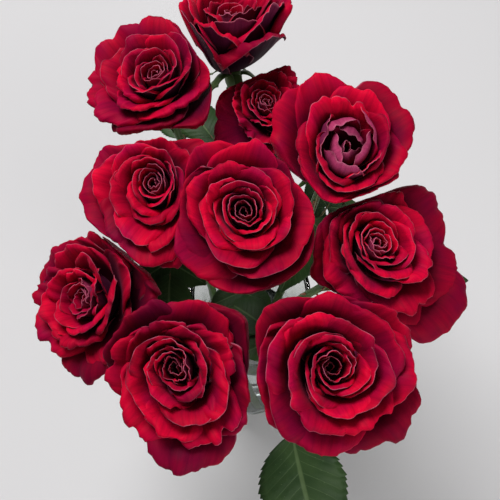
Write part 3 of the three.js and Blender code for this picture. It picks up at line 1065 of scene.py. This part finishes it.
def petal_sheet(t, heading, spread, bloom, rng):
    """One petal's middle surface as a grid [column, row], in a bloom of radius and height 1."""
    across = np.linspace(-1.0, 1.0, PETAL_COLUMNS)[:, None]
    along = 1.0 - (1.0 - np.linspace(0.0, 1.0, PETAL_ROWS)[None, :]) ** 1.4

    # the outline: rounded shoulders, a slight point and an uneven margin
    shoulder = rng.uniform(0.20, 0.34) + 0.10 * (1 - t)
    point = rng.uniform(0.0, 0.05)
    uneven = rng.uniform(0.01, 0.026) * np.sin(rng.uniform(3, 7) * across + rng.uniform(0, 6.3))
    uneven += rng.uniform(0.004, 0.012) * np.sin(rng.uniform(9, 16) * across + rng.uniform(0, 6.3))
    end = 1.0 - shoulder * np.abs(across) ** rng.uniform(2.6, 3.8) + uneven
    end += point * (np.exp(-((across / 0.16) ** 2)) - 0.5)
    cleft = max(0.0, rng.normal(-0.02, 0.05))
    end -= cleft * np.exp(-(((across - rng.uniform(-0.3, 0.3)) / 0.11) ** 2))
    place = along * end

    # each petal follows the spiral: one side is tucked in, the other lies outside
    own = np.clip(t + bloom["tuck"] * across / bloom["petals"] + 0 * place, 0.0, 1.0)
    heading = heading + rng.normal(0, 0.04)
    outermost = ease(t, 0.55, 1.0)
    sideways = 0.5 + 0.5 * math.cos(heading - math.radians(bloom["splay_to"]))
    splay = bloom["splay"] * outermost * sideways
    closing = 1 - bloom["open"]
    wider = (spread - 1) * outermost
    reach = at_station(own, RIM_REACH) * (1 + 0.22 * splay + wider)
    reach = reach * (1 - 0.22 * closing * ease(t, 0.3, 1.0)) * rng.normal(1, 0.03)
    rise = at_station(own, RIM_RISE) * (1 - 0.2 * splay - 0.3 * wider)
    rise = rise + rng.normal(0, 0.025) * t + 0.25 * closing * outermost
    rise = rise - bloom["hollow"] * ease(1 - t, 0.72, 1.0)
    lean = 95 + (at_station(own, RIM_LEAN) - 95) * bloom["open"] - 12 * splay
    lean = lean + 50 * bloom["bud"] * ease(t, 0.05, 0.2) * ease(1 - t, 0.45, 0.65)
    lean = lean + rng.normal(0, 9) * t

    # the profile: a curve from the receptacle to the rim
    start = np.stack([0.02 + 0.09 * own, 0.12 * (1 - own)])
    finish = np.stack([reach, rise])
    chord = np.hypot(*(finish - start))
    first = np.radians(62 - 50 * own)
    last = np.radians(lean)
    low = start + 0.44 * chord * np.stack([np.cos(first), np.sin(first)])
    high = finish - 0.36 * chord * np.stack([np.cos(last), np.sin(last)])
    rest = 1 - place
    curve = rest**3 * start + 3 * rest**2 * place * low + 3 * rest * place**2 * high
    curve = curve + place**3 * finish

    # the margin rolls back, more at the shoulders than in the middle
    roll = at_station(t, RIM_ROLL) * bloom["roll"] * rng.uniform(0.5, 1.35)
    curl = CURL * ease(t, 0.1, 0.5) * rng.uniform(0.3, 1.9) * ease(along, 0.94, 1.0)
    uneven_roll = 1 + rng.uniform(-0.8, 0.8) * across * outermost
    roll = roll * (0.45 + 0.6 * np.abs(across)) * uneven_roll * ease(along, 0.6, 0.98) + curl
    roll = np.radians(roll)[:, 1:]
    step = np.diff(curve, axis=2)
    bent = [
        step[0] * np.cos(roll) + step[1] * np.sin(roll),
        step[1] * np.cos(roll) - step[0] * np.sin(roll),
    ]
    foot = curve[:, :, :1]
    radius, height = np.concatenate([foot, foot + np.cumsum(bent, axis=2)], axis=2)

    # round the bloom's axis
    shape = np.interp(along, [0, 0.25, 0.5, 0.72, 0.9, 1], [0.22, 0.62, 0.9, 1.0, 0.95, 0.86])
    half = at_station(t, HALF_WIDTH) * rng.uniform(0.92, 1.08) * shape
    angle = across * half / np.maximum(np.abs(radius), 0.11 + 0.04 * t)
    limit = math.radians(150 - 60 * t)
    angle = limit * np.tanh(angle / limit)
    side = ease(np.abs(across), 0.6, 1.0) * ease(along, 0.3, 0.9)
    radius = radius + bloom["side"] * side * (0.6 * np.sign(across) + 0.5) * (0.3 + t)
    radius = radius * (1 + bloom["flat"] * t * (1 / np.cos(np.clip(angle, -1.0, 1.0)) - 1))
    points = [radius * np.cos(heading + angle), radius * np.sin(heading + angle), height]
    points = np.stack(points, axis=-1)

    # ruffles that grow towards the margin, and shallow dents
    waves = rng.uniform(1.6, 3.2) * math.pi
    ruffle = np.sin(waves * across + rng.uniform(0, 6.3))
    ruffle = ruffle + 0.5 * np.sin(1.9 * waves * across + rng.uniform(0, 6.3))
    ruffle = ruffle + 0.35 * np.sin(3.3 * waves * across + rng.uniform(0, 6.3))
    frill = np.sin(5.6 * waves * across + rng.uniform(0, 6.3))
    ruffle = ruffle + 0.22 * frill * ease(along, 0.85, 1.0)
    flank = ease(np.abs(across), 0.55, 1.0) * ease(along, 0.2, 0.7)
    margin = np.maximum(ease(along, 0.55, 1.0), 0.7 * flank)
    size = bloom["ruffle"] * (0.25 + 0.75 * t) * rng.uniform(0.5, 1.4)
    dent = np.sin(rng.uniform(1.5, 3.5) * across + rng.uniform(0, 6.3))
    dent = dent * np.sin(rng.uniform(2, 5) * along + rng.uniform(0, 6.3))
    shift = size * (margin * ruffle + 0.35 * dent * ease(along, 0.15, 0.5))
    return points + grid_normals(points) * shift[..., None]


def uneven_bloom(points, bloom, waves):
    """Bends the whole bloom a little, so that its petals keep their order, and moves its heart."""
    x, y, z = np.moveaxis(points, -1, 0)
    swirl = 0.02 * (np.sin(2.3 * x + waves[0]) + np.sin(2.9 * y + waves[1]))
    z = z + 0.045 * (np.sin(2.1 * x + waves[2]) + np.sin(2.4 * y + waves[3]))
    x = x + 0.045 * np.sin(3.1 * y + waves[4]) + swirl
    y = y + 0.045 * np.sin(2.7 * x + waves[5]) - swirl
    near = np.exp(-2 * (x * x + y * y))
    x = x + bloom["heart"][0] * near
    y = y + bloom["heart"][1] * near
    return np.stack([x, y, z], axis=-1)


def neighbours(number):
    """The direction of each neighbouring bloom, and how far off the plane between the two is."""
    middle, reach = bloom_places[number]
    for other, (its_middle, its_reach) in bloom_places.items():
        apart = np.linalg.norm(its_middle - middle)
        if other != number and apart < 1.5 * (reach + its_reach):
            limit = (apart**2 + reach**2 - its_reach**2) / (2 * apart) - ROOM_GAP
            yield (its_middle - middle) / apart, limit


def room_to_spread(heading, number, directions):
    """How much further than usual a guard petal opens to reach the neighbour it faces. One that
    faces none, or one far away, opens as usual."""
    ahead = np.cos(heading) * directions[0] + np.sin(heading) * directions[1]
    reach = bloom_places[number][1]
    faced = [(ahead @ towards, limit) for towards, limit in neighbours(number)]
    free = [limit / share for share, limit in faced if share > FACING]
    spread = PRESS * min(free, default=10.0) / (RIM_REACH[-1] * reach)
    return np.clip(spread, LEAST_SPREAD, MOST_SPREAD) if spread < FAR_SPREAD else 1.0


def give_room(points, number):
    """Presses a bloom's petals back from its neighbours, so that each keeps to its own side."""
    middle = bloom_places[number][0]
    for towards, limit in neighbours(number):
        free = FREE_SHARE * limit
        past = (points - middle) @ towards - free
        pressed = (limit - free) * (1 - np.exp(-past / (limit - free)))
        shift = np.where(past > 0, pressed - past, 0.0)
        points = points + shift[..., None] * towards
    return points


def petal_finish(name, inside, outside, margin):
    """Velvety petal skin, from the colours of its inner face, its outer face and its margin; it is
    darkened towards the foot as painted shade, and the margin colour is also a painted highlight along
    the edge.
    """
    material, tree, shader = new_finish(name)

    def field(label):
        return wire(tree, "ShaderNodeAttribute", attribute_name=label).outputs["Fac"]

    surface = wire(tree, "ShaderNodeTexCoord").outputs
    fan = wire(tree, "ShaderNodeMapping", {"Vector": surface["UV"], "Scale": (38, 2.2, 1)})
    veins = noise(tree, fan.outputs[0], 1.0)

    # the inner face in patches of two reds, and the outer face, paler as a painted highlight where the
    # margin rolls back
    patch = scaled(tree, noise(tree, surface["Object"], 34), 0.44, 0.66, 0, 0.7)
    face = blend(tree, patch, (*inside, 1), (0.34, 0.0, 0.040, 1))
    # painted highlight: the outer face pales towards the margin colour near the edge
    rolled_highlight = scaled(tree, field("inset"), 0.0, 0.12, 0.7, 0)
    back = blend(tree, rolled_highlight, (*outside, 1), (*margin, 1))
    sides = blend(tree, field("outside"), face, back)

    # darker towards the petal's foot as painted shade deep between the petals, darker between its veins
    # and from petal to petal, and with a little plum added to every colour, so that the painted shade
    # turns plum and never black
    strength = scaled(tree, field("tint"), -0.5, 1, 0.4, 1.2)
    # painted shade: the colour darkens from the rim down to the petal's foot
    strength = maths(tree, "MULTIPLY", strength, scaled(tree, field("rise"), 0.35, 1.0, 0.2, 1))
    strength = maths(tree, "MULTIPLY", strength, scaled(tree, veins, 0.3, 0.6, 0.8, 1.04))
    skin = blend(tree, 1.0, sides, strength, "MULTIPLY")
    skin = blend(tree, 1.0, skin, (0.0, 0.0012, 0.011, 1), "ADD")

    # a pale line along the margin, partly the thin edge's own paler colour and partly a painted
    # highlight, with dried spots near it
    # painted highlight: the last few hundredths of the petal are blended towards the pale margin colour
    edge = scaled(tree, field("inset"), 0.0, 0.034, 0.7, 0)
    colour = blend(tree, edge, skin, (*margin, 1))
    near = scaled(tree, field("inset"), 0.0, 0.16, 0.8, 0)
    spot = scaled(tree, noise(tree, surface["Object"], 70), 0.5, 0.66)
    dried = maths(tree, "MULTIPLY", near, spot)
    colour = blend(tree, dried, colour, (0.10, 0.004, 0.018, 1))

    # the veins in relief, with a velvety pile over them
    relief = maths(tree, "MULTIPLY_ADD", noise(tree, surface["Object"], 2600), 0.35, veins)
    set_inputs(
        shader,
        {
            "Base Color": colour,
            "Normal": bump(tree, relief, 0.35, 0.0004),
            "Roughness": 0.55,
            "Specular IOR Level": 0.035,
            "Sheen Weight": 0.07,
            "Sheen Roughness": 0.4,
            "Sheen Tint": (1.0, 0.2, 0.4, 1),
        },
    )
    return material


inner_finish = petal_finish(
    "inner_petal_velvet", (0.70, 0.0, 0.020), (0.46, 0.045, 0.13), (0.56, 0.15, 0.24)
)
# The outer petals' outer face is much darker than the inner petals': partly a duskier outside and partly
# painted shade.
outer_finish = petal_finish(
    "outer_petal_velvet", (0.68, 0.0, 0.020), (0.18, 0.014, 0.050), (0.54, 0.15, 0.23)
)
bloom_places = {}
for number in BLOOM_NUMBERS:
    base, reach, height, directions = bloom_frame(number)
    bloom_places[number] = (base + MIDDLE_RISE * height * directions[2], reach)
for number in BLOOM_NUMBERS:
    bloom = {**EVEN_BLOOM, **BLOOMS[number]}
    base, reach, height, directions = bloom_frame(number)
    reach = reach * bloom["broad"]
    sizes = np.array([reach, reach * bloom["long"], height])
    waves = np.random.default_rng(bloom["seed"]).uniform(0, 6.3, 6)
    layers = {"inner": [], "outer": []}
    for place in range(bloom["petals"]):
        t = (place / (bloom["petals"] - 1)) ** CROWDING
        rng = np.random.default_rng([bloom["seed"], place])
        heading = bloom["start"] + place * GOLDEN_ANGLE
        spread = 1 + bloom["fill"] * (room_to_spread(heading, number, directions) - 1)
        sheet = petal_sheet(t, heading, spread, bloom, rng)
        sheet = base + (sizes * uneven_bloom(sheet, bloom, waves)) @ directions
        sheet = give_room(sheet, number)
        petal = sheet_solid(sheet, PETAL_THICKNESS)
        tint = rng.uniform() - GUARD_SHADE * ease(t, 0.7, 1.0)
        petal[3]["tint"] = np.full(len(petal[0]), tint)
        layers["inner" if t < HEART_SHARE else "outer"].append(petal)
    for layer, finish in (("inner", inner_finish), ("outer", outer_finish)):
        points, faces, uv = join([petal[:3] for petal in layers[layer]])
        fields = join_fields(layers[layer], ["outside", "inset", "rise", "tint"])
        name = f"rose_{layer}_petals_{number}"
        piece = add_piece(name, points, faces, [finish], uv=uv, fields=fields)
        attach(piece, "root")
        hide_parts(f"{layer}_petals_{number}")
